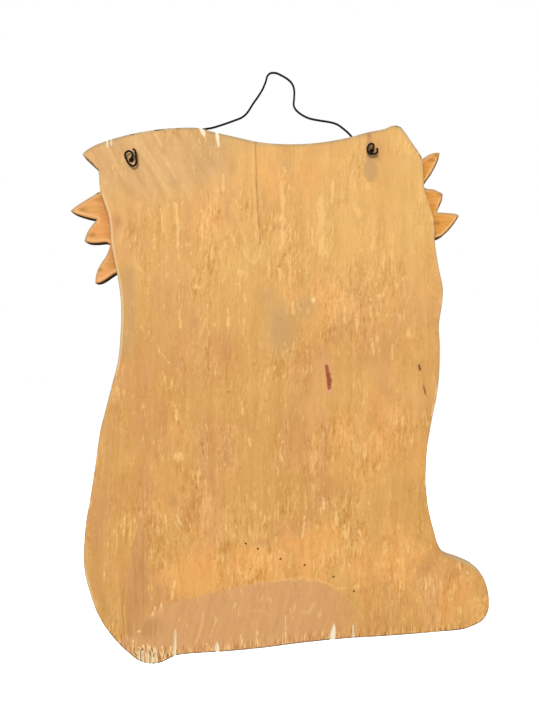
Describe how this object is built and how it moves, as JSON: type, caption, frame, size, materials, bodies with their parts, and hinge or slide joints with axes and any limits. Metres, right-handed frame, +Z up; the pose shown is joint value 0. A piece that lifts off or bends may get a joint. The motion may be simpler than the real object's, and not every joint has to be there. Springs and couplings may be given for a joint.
{
  "type": "wooden sign",
  "caption": "Scroll-sawn plywood sign board with wavy sides, leaf sprays fixed on its painted front, and a bent wire hanger curled behind two holes.",
  "frame": {"origin": "underside of the wire hanger's peak, where the nail or hook carries the sign, in the middle of the wire's depth", "axes": "+X to the right as seen from the painted front, +Y from the front to the back, +Z up"},
  "size_m": [0.2617, 0.0151, 0.3716],
  "materials": {
    "back_veneer": "bare veneer under a thin ochre stain, aged, matte",
    "ply_core": "sawn plywood edge, lightly stained, matte",
    "board_paint": "cream milk paint with a painted border, worn at the edges",
    "spray_back": "bare veneer with level grain under an orange ochre stain, matte",
    "spray_paint": "green milk paint with lighter veins, worn at the edges",
    "brad_steel": "dull steel, a little rusted",
    "hanger_steel": "black annealed wire, matte"
  },
  "bodies": {
    "hanger": {"hanger_wire": "hanger_steel"},
    "sign": {"board_back_veneer": "back_veneer", "board_core": "ply_core", "board_front_veneer": "board_paint", "right_spray_back_veneer": "spray_back", "right_spray_core": "ply_core", "right_spray_front_veneer": "spray_paint", "left_spray_back_veneer": "spray_back", "left_spray_core": "ply_core", "left_spray_front_veneer": "spray_paint", "spray_brads": "brad_steel", "board_brads": "brad_steel"}
  },
  "joints": [
    {"name": "hanger_hinge", "type": "hinge", "parent": "hanger", "child": "sign", "pos_m": [0.0135, 0.00485, -0.055], "axis": [0.9993, 0, -0.0376], "range_deg": [-10, 3]}
  ]
}
